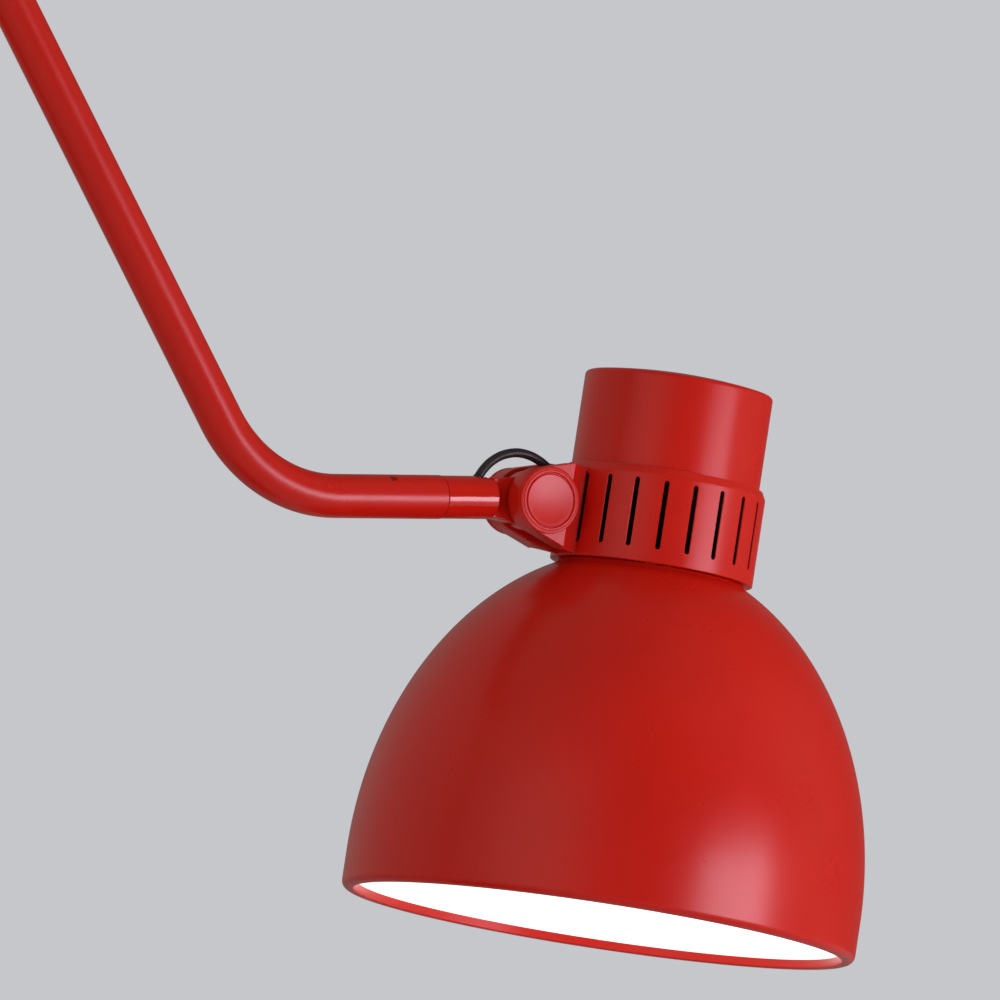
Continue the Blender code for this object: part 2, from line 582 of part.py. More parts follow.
# --- head ----------------------------------------------------------------------------------------
def build_head():
    pivot = empty("head_frame", (PIVOT_X, ARM_Y, PIVOT_Z), HEAD_TILT)
    axis = empty("lamp_axis", (HEAD_OFFSET, 0, HEAD_RISE), parent=pivot)
    build_collar(pivot, axis)
    build_pivot_hardware(pivot)
    build_cap(axis)
    build_light_engine(axis)
    build_shade(axis)
    for i, at in enumerate(head_screw_places(COLLAR_BOTTOM - 2.0)):
        screw(f"head_screw_{i + 1}", 2.8, 2.2, 1.45, 6.4, axis, at, (0, 0, 1))
    cable("cable_head", [(-44.2, 0, 5.0), (-40, 0, 6.6), (-35.4, 0, 9.3), (-31.0, 0, 12.3)], axis)


def head_screw_places(height=0.0):
    """Where the three screws through shade, collar and heat sink stand round the lamp axis."""
    for i in range(HEAD_SCREW_COUNT):
        angle = 2 * math.pi * (i + 0.5) / HEAD_SCREW_COUNT
        yield (HEAD_SCREW_CIRCLE * math.cos(angle), HEAD_SCREW_CIRCLE * math.sin(angle), height)


def build_collar(pivot, axis):
    floor = COLLAR_BOTTOM + 2.4
    outline = [(COLLAR_LIP_IN, COLLAR_TOP), (COLLAR_LIP_IN, 17.4), (COLLAR_IN, 16.6), (COLLAR_IN, floor),
               (COLLAR_FLOOR_IN, floor), (COLLAR_FLOOR_IN, COLLAR_BOTTOM), (COLLAR_R, COLLAR_BOTTOM),
               (COLLAR_R, COLLAR_SHOULDER), (COLLAR_IN, COLLAR_TOP)]
    collar = turned("head_collar", outline, PAINT, 44, parent=axis)
    for name, side in (("ear_near", -1), ("ear_far", 1)):
        fuse(collar, build_ear(name, pivot, side))
    cut(collar, build_slots(axis))
    step = 10.5
    hole = [(0, -30), (8.6, -30), (8.6, -step), (3.3, -step), (3.3, step), (8.6, step), (8.6, 30), (0, 30)]
    cut(collar, bore("pivot_hole", hole, 20, parent=pivot, along=(0, 1, 0)))
    cut(collar, drill("cable_hole", 2.7, 14, 30, 16, parent=pivot, at=(0, 0, 9.0), along=(1, 0, 0)))
    for i, at in enumerate(head_screw_places()):
        cut(collar, drill(f"collar_screw_hole_{i}", 1.8, -30, 0, 10, parent=axis, at=at))


def build_ear(name, pivot, side):
    """One thick ear round the pivot, widening to the collar's height and thinning into its wall."""
    lean = 17.0
    slope = math.tan(math.radians(lean))
    reach = 23.6
    round_end = arc((0, 0), EAR_R, 90 + lean, 270 - lean, 12)
    top = round_end[0][1] + (EAR_END - round_end[0][0]) * slope
    outline = round_end + [(EAR_END, -top), (reach, HEAD_RISE + COLLAR_BOTTOM + 0.4),
                           (reach, HEAD_RISE + COLLAR_SHOULDER), (EAR_END, top)]
    low, high = sorted((side * EAR_IN, side * EAR_OUT))
    blade = prism(name, [(x, -z) for x, z in outline], low, high, None, parent=pivot, along=(0, 1, 0))
    hollow_r = 16.0
    hollow = arc((EAR_END + 11.0, side * (EAR_OUT + 8.8)), hollow_r, side * -133, side * -88, 6)
    relief = hollow + [(40, side * 9.0), (40, side * 40), (EAR_END - 0.1, side * 40)]
    if side < 0:
        relief.reverse()
    cut(blade, prism(name + "_relief", relief, -40, 40, None, parent=pivot))
    return blade


def build_slots(axis):
    """One cutter of separate bars, one for each slot, spread from the side away from the arm."""
    bm = bmesh.new()
    for i in range(SLOT_COUNT):
        angle = (i - (SLOT_COUNT - 1) / 2) * SLOT_PITCH
        turn = Matrix.Rotation(angle, 4, "Z")
        size = Matrix.Diagonal((8.0, SLOT_W, SLOT_TOP - SLOT_BOTTOM, 1.0))
        middle = Matrix.Translation((COLLAR_R, 0, (SLOT_TOP + SLOT_BOTTOM) / 2))
        bmesh.ops.create_cube(bm, size=1.0, matrix=turn @ middle @ size)
    return place("slot_cutters", bm, None, parent=axis)


def build_pivot_hardware(pivot):
    screw("pivot_bolt", 5.0, 3.4, 3.0, 24.2, pivot, (0, -10.8, 0), (0, 1, 0), 16)
    nut = prism("pivot_nut", hexagon(5.6), 10.8, 14.2, "steel", parent=pivot, along=(0, 1, 0))
    cut(nut, drill("pivot_nut_hole", 3.3, 0, 30, 16, parent=pivot, along=(0, 1, 0)))
    low = EAR_OUT + GAP
    cap = [(0, low), (EAR_R - 0.3, low), (EAR_R - 0.3, low + 1.8), (EAR_R - 0.9, low + 2.4),
           (12.9, low + 2.4), (12.5, low + 1.7), (12.1, low + 1.7), (11.7, low + 2.3), (0, low + 1.5)]
    for name, side in (("pivot_cap_near", -1), ("pivot_cap_far", 1)):
        turned(name, cap, PAINT, 24, parent=pivot, along=(0, side, 0))


def build_cap(axis):
    """The crowned rear housing, whose flange sits under the collar's lip."""
    rise = CAP_CROWN - CAP_EDGE
    wall = 1.4
    flat_r = CAP_R - 1.6
    crown = [(flat_r * i / 3, CAP_CROWN - rise * 0.9 * (i / 3) ** 2) for i in range(4)]
    under = [(max(r - wall * 0.4, 0), z - wall) for r, z in reversed(crown)]
    flange_r, flange_top, flange_low = COLLAR_IN - GAP, 16.2, 14.6
    outline = crown + [(CAP_R, CAP_EDGE - 1.2), (CAP_R, flange_top), (flange_r, flange_top),
                       (flange_r, flange_low), (CAP_R - wall, flange_low), (CAP_R - wall, CAP_EDGE - 2.0)] + under
    turned("rear_cap", outline, PAINT, 32, parent=axis)


def build_light_engine(axis):
    """Heat sink with radial fins, driver, and board with its light source."""
    plate_low = COLLAR_BOTTOM + 2.4 + GAP
    plate = plate_low + 3.0
    sink = disc("heat_sink", 40.5, plate_low, plate, "aluminium", 24, parent=axis)
    fins, fin_top = 10, 7.8
    hub_r, tip_r = 13.0, 34.0
    root, tip = math.pi / fins * 0.72, 1.2 / tip_r
    points = []
    for i in range(fins):
        middle = 2 * math.pi * (i + 0.5) / fins
        for r, turn in ((hub_r, -root), (tip_r, -tip), (tip_r, tip), (hub_r, root)):
            points.append((r * math.cos(middle + turn), r * math.sin(middle + turn)))
    fuse(sink, prism("sink_fins", points, plate - 1.0, fin_top, None, parent=axis))
    for i, at in enumerate(head_screw_places()):
        cut(sink, drill(f"sink_thread_{i}", 1.75, -30, 0, 10, parent=axis, at=at))
    can = [(0, fin_top + GAP), (28.0, fin_top + GAP), (28.0, 40.0), (26.0, 42.0), (0, 42.0)]
    turned("led_driver", can, "black_plastic", 24, parent=axis)
    low = plate_low - GAP
    board = [(0, low - 3.0), (9.0, low - 3.0), (9.0, low - 1.6), (24.0, low - 1.6), (24.0, low), (0, low)]
    turned("led_board", board, "white_paint", 24, parent=axis)


def dome_profile(radius, height, centre, start_r, steps):
    """Half an ellipse from a given radius near its top to its full radius."""
    begin = math.asin(start_r / radius)
    angles = [begin + (math.pi / 2 - begin) * i / steps for i in range(steps + 1)]
    return [(radius * math.sin(a), centre + height * math.cos(a)) for a in angles]


def build_shade(axis):
    top = COLLAR_BOTTOM - GAP
    outer = dome_profile(SHADE_R, SHADE_H, SHADE_FULL, 43.6, 9)
    inner = dome_profile(SHADE_R - SHADE_WALL, SHADE_H - SHADE_WALL, SHADE_FULL, 43.6, 6)
    bead = arc(BEAD_AT, BEAD_R, 50, -180, 6)
    back = arc(BEAD_AT, BEAD_R - 0.9, 180, 90, 1)
    wall_in = SHADE_R - SHADE_WALL
    outline = ([(30.0, top), (42.4, top)] + outer + [(SHADE_R, BEAD_AT[1] + 3.4)] + bead[1:] + back
               + [(wall_in, BEAD_AT[1] + 3.2)] + inner[::-1]
               + [(42.0, top - SHADE_WALL), (30.0, top - SHADE_WALL)])
    shade = turned("shade", outline, PAINT, 40, parent=axis)
    for i, at in enumerate(head_screw_places()):
        cut(shade, drill(f"shade_screw_hole_{i}", 1.8, -30, 0, 10, parent=axis, at=at))

    liner_r, liner_h, liner_at = 112.3, 147.5, -176.0
    face = dome_profile(liner_r, liner_h, liner_at, 24.0, 6)
    back_face = dome_profile(liner_r - 1.0, liner_h - 1.0, liner_at, 24.0, 6)
    turned("reflector", face + back_face[::-1], "white_paint", 32, parent=axis)
    ring("diffuser_ring", 109.5, 116.5, -181.0, -178.4, "white_paint", 32, parent=axis)
    disc("diffuser", 111.6, -183.4, -181.4, "opal", 40, parent=axis)


clear_scene()
MATERIALS = make_materials()
build_base()
build_post()
build_arm()
build_wrist()
build_head()
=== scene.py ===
"""Looks of the architect desk lamp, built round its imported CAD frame.

Outlines are in millimetres, each in the frame of the part it belongs to: lathed outlines are lists of
(radius, height) points, and a third number at a point rounds that corner. Places come from the frame.
"""
import json
import math

import bmesh
import bpy
from mathutils import Matrix, Vector
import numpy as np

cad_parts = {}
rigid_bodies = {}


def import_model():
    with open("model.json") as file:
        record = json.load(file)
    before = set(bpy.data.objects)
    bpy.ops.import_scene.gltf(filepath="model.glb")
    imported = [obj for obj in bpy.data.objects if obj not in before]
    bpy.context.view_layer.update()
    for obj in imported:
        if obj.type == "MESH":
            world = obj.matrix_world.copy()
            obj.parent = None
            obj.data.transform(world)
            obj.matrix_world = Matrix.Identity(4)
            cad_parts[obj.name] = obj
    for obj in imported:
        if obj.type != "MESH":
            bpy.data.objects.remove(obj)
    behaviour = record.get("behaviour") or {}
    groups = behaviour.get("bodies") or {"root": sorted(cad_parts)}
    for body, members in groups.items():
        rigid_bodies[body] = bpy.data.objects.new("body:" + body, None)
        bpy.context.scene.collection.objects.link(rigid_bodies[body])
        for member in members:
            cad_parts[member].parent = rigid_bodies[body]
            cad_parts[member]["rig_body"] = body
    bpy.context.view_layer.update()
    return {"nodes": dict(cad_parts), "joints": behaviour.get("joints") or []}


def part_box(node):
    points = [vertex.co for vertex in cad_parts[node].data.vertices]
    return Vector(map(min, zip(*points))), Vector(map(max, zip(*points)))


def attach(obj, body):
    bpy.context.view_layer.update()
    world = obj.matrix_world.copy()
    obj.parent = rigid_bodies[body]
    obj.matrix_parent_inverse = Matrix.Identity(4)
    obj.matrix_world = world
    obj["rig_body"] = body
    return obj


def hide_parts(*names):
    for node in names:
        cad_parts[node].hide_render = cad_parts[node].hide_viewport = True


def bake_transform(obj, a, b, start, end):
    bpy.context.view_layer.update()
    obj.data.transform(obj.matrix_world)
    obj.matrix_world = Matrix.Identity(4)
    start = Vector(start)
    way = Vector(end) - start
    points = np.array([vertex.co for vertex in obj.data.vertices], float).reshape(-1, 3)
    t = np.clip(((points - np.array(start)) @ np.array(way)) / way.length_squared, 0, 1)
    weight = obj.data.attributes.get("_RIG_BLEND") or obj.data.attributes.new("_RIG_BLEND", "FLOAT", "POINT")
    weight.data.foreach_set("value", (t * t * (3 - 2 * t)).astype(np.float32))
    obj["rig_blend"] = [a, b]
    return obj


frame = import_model()

MM = 0.001
TURN = 2 * math.pi
HEAD_RISE = 4.3                  # zero height of the lamp's outlines, above the head pivot, in mm
SHARP = math.radians(32)         # edges that turn more than this stay crisp
ROUND_STEPS = 5                  # straight steps in one rounded corner
FINE = 192                       # segments round a large piece
MEDIUM = 96
SMALL = 64

NODES = frame["nodes"]
JOINTS = {joint["name"]: joint for joint in frame["joints"]}
X, Y, Z = Vector((1, 0, 0)), Vector((0, 1, 0)), Vector((0, 0, 1))


# --- frames of reference ---------------------------------------------------------------------------
def frame_at(origin, up, ahead=X):
    """A placing matrix from millimetres: local Z along up, local X as near ahead as it can be."""
    z = Vector(up).normalized()
    x = (Vector(ahead) - z * z.dot(Vector(ahead))).normalized()
    turn = Matrix((x, z.cross(x), z)).transposed().to_4x4()
    return Matrix.Translation(origin) @ turn @ Matrix.Scale(MM, 4)


def middle(node):
    low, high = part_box(node)
    return (low + high) / 2


def surface_centre(node):
    """The centre of a node's skin, which lies on the axis of a turned piece."""
    faces = NODES[node].data.polygons
    return sum((f.center * f.area for f in faces), Vector()) / sum(f.area for f in faces)


PIVOT = Vector(JOINTS["head_tilt"]["pos_m"])
ELBOW = Vector(JOINTS["elbow_tilt"]["pos_m"])
WRIST = Vector(JOINTS["wrist_swivel"]["pos_m"])
POST = Vector(JOINTS["base_swivel"]["pos_m"])
POST.z = 0.0
BASE = middle("base_cover")
BASE.z = 0.0

MOUTH = surface_centre("diffuser")
LAMP_UP = (surface_centre("rear_cap") - MOUTH).normalized()
LAMP_AHEAD = Y.cross(LAMP_UP)
LAMP_POINT = MOUTH + LAMP_UP * LAMP_UP.dot(PIVOT - MOUTH)

BASE_FRAME = frame_at(BASE, Z)
POST_FRAME = frame_at(POST, Z)
LAMP = frame_at(LAMP_POINT + LAMP_UP * HEAD_RISE * MM, LAMP_UP, LAMP_AHEAD)
PIVOT_FRAME = frame_at(PIVOT, LAMP_UP, LAMP_AHEAD)


# --- camera, light and floor -----------------------------------------------------------------------
VIEW_WIDTH = 0.4545              # metres across the picture at the head
VIEW_AZIMUTH = -30
VIEW_ELEVATION = -1.06           # the camera stands a little below the head and looks up
VIEW_SHIFT = -0.0137             # middle of the picture, to the right of the head pivot
VIEW_LIFT = 0.0003
CAMERA_AWAY = 14.0
SENSOR = 36.0                    # width of the camera's sensor, in mm
BACKDROP = (0.566, 0.571, 0.597)


def toward(azimuth, elevation):
    """A unit vector; azimuth 0 is the near side, -Y, and positive azimuths are to its right."""
    a, e = math.radians(azimuth), math.radians(elevation)
    return Vector((math.sin(a) * math.cos(e), -math.cos(a) * math.cos(e), math.sin(e)))


def make_camera():
    data = bpy.data.cameras.new("camera")
    data.sensor_width = SENSOR
    data.lens = SENSOR * CAMERA_AWAY / VIEW_WIDTH
    camera = bpy.data.objects.new("camera", data)
    bpy.context.scene.collection.objects.link(camera)
    back = toward(VIEW_AZIMUTH, VIEW_ELEVATION)
    right = Z.cross(back).normalized()
    up = back.cross(right)
    camera.location = PIVOT + right * VIEW_SHIFT + up * VIEW_LIFT + back * CAMERA_AWAY
    camera.rotation_euler = Matrix((right, up, back)).transposed().to_euler()
    bpy.context.scene.camera = camera


def make_softbox(name, azimuth, elevation, away, width, height, power, colour=(1, 1, 1), shines=False):
    """An area light that faces the head pivot; only one that shines shows in reflections."""
    data = bpy.data.lights.new(name, "AREA")
    data.shape = "RECTANGLE"
    data.size, data.size_y = width, height
    data.energy = power
    data.color = colour
    lamp = bpy.data.objects.new(name, data)
    bpy.context.scene.collection.objects.link(lamp)
    out = toward(azimuth, elevation)
    lamp.location = PIVOT + out * away
    lamp.rotation_euler = out.to_track_quat("Z", "Y").to_euler()
    lamp.visible_camera = False
    lamp.visible_glossy = shines


def make_lights():
    """Four softboxes: the place in degrees and metres, the size in metres, the power and the colour."""
    make_softbox("key", 30, -11, 1.5, 0.86, 0.64, 13, (1.0, 0.84, 1.0), shines=True)
    make_softbox("right", 80, 5, 1.6, 1.2, 1.4, 8, (1.0, 0.94, 0.88))
    make_softbox("high", 45, 45, 1.9, 1.6, 1.6, 8, (1.0, 0.97, 0.94))
    make_softbox("left", -60, 10, 2.0, 1.4, 1.6, 9, (1.0, 0.98, 0.96))


ROOM_LEFT = 0.55                 # the room's strength to the left of the picture, and to its right
ROOM_RIGHT = 0.12
ROOM = (0.60, 0.57, 0.53)


def make_world():
    """A grey backdrop for the camera, and a dimmer grey room for the light and reflections."""
    world = bpy.data.worlds.new("studio")
    bpy.context.scene.world = world
    world.use_nodes = True
    tree = world.node_tree
    tree.nodes.clear()
    seen, room = (tree.nodes.new("ShaderNodeBackground") for _ in range(2))
    seen.inputs["Color"].default_value = (*BACKDROP, 1)
    room.inputs["Color"].default_value = (*ROOM, 1)
    place = tree.nodes.new("ShaderNodeTexCoord")
    side = tree.nodes.new("ShaderNodeVectorMath")
    side.operation = "DOT_PRODUCT"
    side.inputs[1].default_value = Z.cross(toward(VIEW_AZIMUTH, 0))
    tree.links.new(place.outputs["Generated"], side.inputs[0])
    strength = spread(tree, side.outputs["Value"], (-0.7, 0.5), (ROOM_LEFT, ROOM_RIGHT))
    tree.links.new(strength, room.inputs["Strength"])
    mix = tree.nodes.new("ShaderNodeMixShader")
    path = tree.nodes.new("ShaderNodeLightPath")
    out = tree.nodes.new("ShaderNodeOutputWorld")
    tree.links.new(path.outputs["Is Camera Ray"], mix.inputs["Fac"])
    tree.links.new(room.outputs[0], mix.inputs[1])
    tree.links.new(seen.outputs[0], mix.inputs[2])
    tree.links.new(mix.outputs[0], out.inputs["Surface"])
    bpy.context.scene.view_settings.view_transform = "Standard"


FLOOR_R = 2.6
FLOOR_FADE = 1.1                 # the floor melts into the backdrop from here out
FLOOR_DROP = 0.0005              # gap under the base, in metres


def make_floor():
    bm = bmesh.new()
    bmesh.ops.create_circle(bm, cap_ends=True, radius=FLOOR_R, segments=96)
    mesh = bpy.data.meshes.new("floor")
    bm.to_mesh(mesh)
    bm.free()
    floor = bpy.data.objects.new("floor", mesh)
    bpy.context.scene.collection.objects.link(floor)
    floor.location = (BASE.x, BASE.y, -FLOOR_DROP)
    material, tree, shader = new_material("floor_paper")
    shader.inputs["Base Color"].default_value = (0.62, 0.62, 0.63, 1)
    shader.inputs["Roughness"].default_value = 0.9
    place = tree.nodes.new("ShaderNodeTexCoord")
    length = tree.nodes.new("ShaderNodeVectorMath")
    length.operation = "LENGTH"
    tree.links.new(place.outputs["Object"], length.inputs[0])
    fade = spread(tree, length.outputs["Value"], (FLOOR_FADE, FLOOR_R - 0.1), (0.0, 1.0))
    clear = tree.nodes.new("ShaderNodeBsdfTransparent")
    mix = tree.nodes.new("ShaderNodeMixShader")
    tree.links.new(fade, mix.inputs["Fac"])
    tree.links.new(shader.outputs[0], mix.inputs[1])
    tree.links.new(clear.outputs[0], mix.inputs[2])
    tree.links.new(mix.outputs[0], tree.nodes["Material Output"].inputs["Surface"])
    mesh.materials.append(material)


# --- materials ---------------------------------------------------------------------------------------
def new_material(name):
    material = bpy.data.materials.new(name)
    material.use_nodes = True
    return material, material.node_tree, material.node_tree.nodes["Principled BSDF"]


def spread(tree, value, source, result):
    """Map a value's range onto another, held at its ends."""
    node = tree.nodes.new("ShaderNodeMapRange")
    node.inputs["From Min"].default_value, node.inputs["From Max"].default_value = source
    node.inputs["To Min"].default_value, node.inputs["To Max"].default_value = result
    tree.links.new(value, node.inputs["Value"])
    return node.outputs["Result"]


def noise(tree, size, detail=2.0, stretch=(1, 1, 1)):
    """Noise whose features are about size millimetres across, stretched along the axes."""
    place = tree.nodes.new("ShaderNodeTexCoord")
    scale = tree.nodes.new("ShaderNodeMapping")
    scale.inputs["Scale"].default_value = [1 / (size * MM * s) for s in stretch]
    tree.links.new(place.outputs["Object"], scale.inputs["Vector"])
    node = tree.nodes.new("ShaderNodeTexNoise")
    node.inputs["Scale"].default_value = 1.0
    node.inputs["Detail"].default_value = detail
    tree.links.new(scale.outputs["Vector"], node.inputs["Vector"])
    return node.outputs["Fac"]


def shade_between(tree, value, dark, light):
    """A colour that goes from dark to light with a value from 0.3 to 0.7."""
    mix = tree.nodes.new("ShaderNodeMix")
    mix.data_type = "RGBA"
    mix.inputs["A"].default_value = (*dark, 1)
    mix.inputs["B"].default_value = (*light, 1)
    tree.links.new(spread(tree, value, (0.3, 0.7), (0.0, 1.0)), mix.inputs["Factor"])
    return mix.outputs["Result"]


def add_bump(tree, shader, height, strength, depth):
    bump = tree.nodes.new("ShaderNodeBump")
    bump.inputs["Strength"].default_value = strength
    bump.inputs["Distance"].default_value = depth * MM
    tree.links.new(height, bump.inputs["Height"])
    tree.links.new(bump.outputs["Normal"], shader.inputs["Normal"])


def surface(name, dark, light, roughness, blotch, grain, bump, stretch=(1, 1, 1), **sockets):
    """A finish with soft changes of colour and roughness, blotch mm across, and bumps of grain mm.

    roughness is its lowest and highest value, and bump the strength and depth in mm.
    """
    material, tree, shader = new_material(name)
    broad = noise(tree, blotch, 3.0, stretch)
    tree.links.new(shade_between(tree, broad, dark, light), shader.inputs["Base Color"])
    worn = noise(tree, blotch * 0.4, 4.0, stretch)
    tree.links.new(spread(tree, worn, (0.3, 0.7), roughness), shader.inputs["Roughness"])
    add_bump(tree, shader, noise(tree, grain, 2.0, stretch), *bump)
    for socket, value in sockets.items():
        shader.inputs[socket.replace("_", " ")].default_value = value
    return material


def make_opal():
    """A lit opal sheet: its glow goes softly between two warm whites in broad patches, and it is pricked with
    a fine diffusing pattern.
    """
    material, tree, shader = new_material("opal_sheet")
    shader.inputs["Base Color"].default_value = (0.9, 0.9, 0.9, 1)
    shader.inputs["Roughness"].default_value = 0.45
    prick = noise(tree, 1.4, 1.0)
    glow = shade_between(tree, noise(tree, 70, 1.0), (1.0, 0.97, 0.94), (1.0, 0.99, 0.98))
    tree.links.new(glow, shader.inputs["Emission Color"])
    shader.inputs["Emission Strength"].default_value = 1.15
    add_bump(tree, shader, prick, 0.15, 0.1)
    return material


DEEP_RED = (0.61, 0.011, 0.004)
BRIGHT_RED = (0.66, 0.013, 0.005)


def make_looks():
    """One look for each of the record's material slots, and for the nodes that differ from theirs."""
    red = surface("satin_red_coat", DEEP_RED, BRIGHT_RED, (0.27, 0.32), 60, 0.9, (0.02, 0.02),
                  Specular_IOR_Level=0.42)
    gloss = surface("glossy_red_coat", DEEP_RED, BRIGHT_RED, (0.10, 0.13), 60, 0.9, (0.02, 0.02),
                    Specular_IOR_Level=0.65)
    return {
        "wrist_fitting": gloss,
        # painted shade: the heat sink, bare aluminium in its material slot, is coloured near-black so that the
        # collar's slots look dark
        "heat_sink": surface("painted_shade_fins", (0.02, 0.02, 0.021), (0.03, 0.03, 0.031), (0.45, 0.55), 10,
                             0.3, (0.1, 0.02), Metallic=0.6),
        "red_paint": red,
        "red_paint_aluminium": red,
        "white_paint": surface("white_coat", (0.84, 0.84, 0.82), (0.88, 0.88, 0.86), (0.45, 0.55), 40, 0.8,
                               (0.1, 0.05)),
        "opal": make_opal(),
        "black_plastic": surface("moulded_black", (0.018, 0.018, 0.019), (0.026, 0.026, 0.027), (0.42, 0.55),
                                 18, 0.35, (0.25, 0.03)),
        "black_rubber": surface("matt_rubber", (0.012, 0.012, 0.012), (0.02, 0.02, 0.02), (0.65, 0.8), 14,
                                0.5, (0.35, 0.05)),
        "cable": surface("cable_jacket", (0.016, 0.016, 0.017), (0.024, 0.024, 0.025), (0.38, 0.48), 9, 0.5,
                         (0.12, 0.03)),
        "steel": surface("brushed_steel", (0.50, 0.50, 0.51), (0.60, 0.60, 0.61), (0.24, 0.38), 8, 0.25,
                         (0.15, 0.02), (6, 1, 1), Metallic=1.0),
        "bare_aluminium": surface("anodised_metal", (0.55, 0.55, 0.56), (0.66, 0.66, 0.67), (0.3, 0.42), 10,
                                  0.3, (0.12, 0.02), Metallic=1.0),
        "cast_iron": surface("sand_cast_iron", (0.03, 0.03, 0.032), (0.09, 0.085, 0.08), (0.6, 0.8), 6, 1.2,
                             (0.6, 0.3), Metallic=1.0),
    }


LOOKS = make_looks()
SLOT = {node: item.data.materials[0].name.split(".")[0] for node, item in NODES.items()}


def look_of(node):
    """A node's own look where it has one, or else the look of its material slot."""
    return LOOKS.get(node, LOOKS[SLOT[node]])


# --- modelling helpers -------------------------------------------------------------------------------
def arc(centre, radius, start, end, steps):
    """Points on a circle from one angle in degrees to another."""
    turn = [math.radians(start + (end - start) * i / steps) for i in range(steps + 1)]
    return [(centre[0] + radius * math.cos(a), centre[1] + radius * math.sin(a)) for a in turn]


def rounded(outline):
    """The outline with an arc in place of each corner that has a third number, its radius."""
    points = []
    for i, corner in enumerate(outline):
        here = Vector(corner[:2])
        if len(corner) == 2:
            points.append(here)
            continue
        back = (Vector(outline[i - 1][:2]) - here).normalized()
        on = (Vector(outline[(i + 1) % len(outline)][:2]) - here).normalized()
        half = back.angle(on) / 2
        centre = here + (back + on).normalized() * corner[2] / math.sin(half)
        first = here + back * corner[2] / math.tan(half) - centre
        last = here + on * corner[2] / math.tan(half) - centre
        sweep = first.angle_signed(last)
        for step in range(ROUND_STEPS + 1):
            turn = Matrix.Rotation(-sweep * step / ROUND_STEPS, 2)
            points.append(centre + turn @ first)
    return points


def solid(name, bm, at):
    """Write a bmesh in millimetres as an object whose mesh is placed in the row frame."""
    bmesh.ops.remove_doubles(bm, verts=bm.verts, dist=1e-4)
    bmesh.ops.recalc_face_normals(bm, faces=bm.faces)
    bm.transform(at)
    mesh = bpy.data.meshes.new(name)
    bm.to_mesh(mesh)
    bm.free()
    item = bpy.data.objects.new(name, mesh)
    bpy.context.scene.collection.objects.link(item)
    return item


def turned(name, outline, at, segments=MEDIUM):
    """A closed outline turned once round local Z."""
    bm = bmesh.new()
    verts = [bm.verts.new((p[0], 0, p[1])) for p in rounded(outline)]
    edges = [bm.edges.new((verts[i - 1], verts[i])) for i in range(len(verts))]
    on_axis = [e for e in edges if all(abs(v.co.x) < 1e-6 for v in e.verts)]
    for edge in on_axis:
        bm.edges.remove(edge)
        edges.remove(edge)
    bmesh.ops.spin(bm, geom=verts + edges, cent=(0, 0, 0), axis=(0, 0, 1), angle=TURN, steps=segments,
                   use_merge=True)
    return solid(name, bm, at)


def rod(name, radius, low, high, at, segments=SMALL):
    return turned(name, [(0, low), (radius, low), (radius, high), (0, high)], at, segments)


def prism(name, outline, low, high, at, edge=0.0):
    """An outline in local XY, extruded along local Z, with its two rims rounded."""
    bm = bmesh.new()
    face = bm.faces.new([bm.verts.new((p[0], p[1], low)) for p in outline])
    made = bmesh.ops.extrude_face_region(bm, geom=[face])
    lifted = [g for g in made["geom"] if isinstance(g, bmesh.types.BMVert)]
    bmesh.ops.translate(bm, vec=(0, 0, high - low), verts=lifted)
    if edge:
        rims = [e for e in bm.edges if abs(e.verts[0].co.z - e.verts[1].co.z) < 1e-6]
        bmesh.ops.bevel(bm, geom=rims, offset=edge, segments=3, profile=0.5, affect="EDGES")
    return solid(name, bm, at)


def skin(bm, loops, closed):
    """Faces between loops of vertices, with caps on the ends of an open run."""
    count = len(loops[0])
    pairs = list(zip(loops, loops[1:])) + ([(loops[-1], loops[0])] if closed else [])
    for a, b in pairs:
        for i in range(count):
            bm.faces.new((a[i - 1], a[i], b[i], b[i - 1]))
    if not closed:
        bm.faces.new(loops[0])
        bm.faces.new(loops[-1][::-1])


def smooth_path(route, step):
    """Points about a step apart on a smooth curve through the route's own points."""
    points = [Vector(p) for p in route]
    points = [points[0] * 2 - points[1]] + points + [points[-1] * 2 - points[-2]]
    path = []
    for a, b, c, d in zip(points, points[1:], points[2:], points[3:]):
        count = max(1, round((c - b).length / step))
        for i in range(count):
            t = i / count
            path.append(0.5 * (2 * b + (c - a) * t + (2 * a - 5 * b + 4 * c - d) * t * t
                               + (3 * b - a - 3 * c + d) * t ** 3))
    path.append(points[-2])
    return path


def cross_sections(bm, path, radii, sides):
    """A loop of vertices at each point of a path, square to it, without twist."""
    loops = []
    heading = (path[1] - path[0]).normalized()
    side = heading.orthogonal().normalized()
    for i, (point, radius) in enumerate(zip(path, radii)):
        ahead = path[min(i + 1, len(path) - 1)] - path[max(i - 1, 0)]
        turn = heading.rotation_difference(ahead.normalized())
        heading, side = ahead.normalized(), (turn @ side).normalized()
        other = heading.cross(side)
        loops.append([bm.verts.new(point + (side * math.cos(TURN * k / sides)
                                            + other * math.sin(TURN * k / sides)) * radius)
                      for k in range(sides)])
    return loops


def carve(piece, unions=(), cuts=()):
    """Join solids to a piece and cut others out of it; the solids are used up."""
    steps = [(other, "UNION") for other in unions] + [(other, "DIFFERENCE") for other in cuts]
    for other, operation in steps:
        step = piece.modifiers.new(other.name, "BOOLEAN")
        step.operation = operation
        step.solver = "EXACT"
        step.object = other
    bpy.context.view_layer.update()
    shaped = piece.evaluated_get(bpy.context.evaluated_depsgraph_get())
    mesh = bpy.data.meshes.new_from_object(shaped)
    piece.modifiers.clear()
    piece.data = mesh
    for other, _ in steps:
        bpy.data.objects.remove(other)
    return piece


